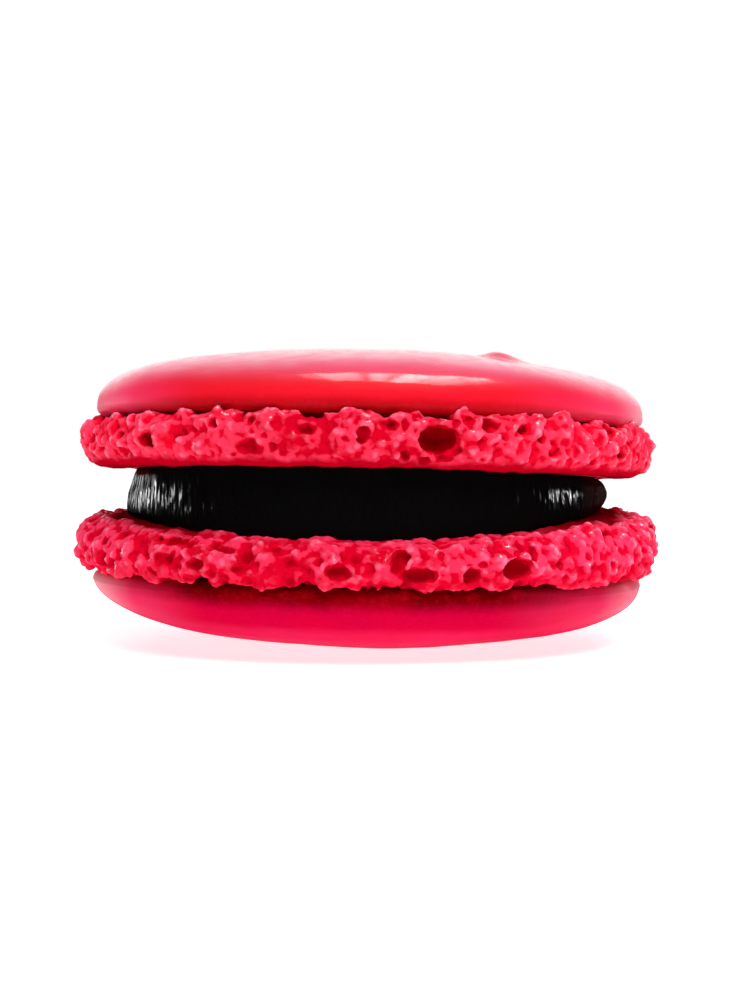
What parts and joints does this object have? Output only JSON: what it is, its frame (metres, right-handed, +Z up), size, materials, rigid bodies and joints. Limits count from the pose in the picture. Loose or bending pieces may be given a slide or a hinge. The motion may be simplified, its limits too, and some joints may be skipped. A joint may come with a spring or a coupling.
{
  "type": "french macaron",
  "caption": "Round sandwich biscuit of domed almond meringue shells with craggy feet and a dark ganache disc between them.",
  "frame": {"origin": "on the table, under the middle of the macaron, at the flat spot it rests on", "axes": "+Z up through the shells and the filling, -Y to the shown front, +X to its right"},
  "size_m": [0.0449, 0.0451, 0.0224],
  "materials": {
    "raspberry_shell": "satin baked meringue, smooth on the dome and torn foam on the foot",
    "dark_ganache": "glossy, with fine upright ridges"
  },
  "bodies": {
    "root": {"bottom_shell": "raspberry_shell", "filling": "dark_ganache", "top_shell": "raspberry_shell"}
  },
  "joints": []
}
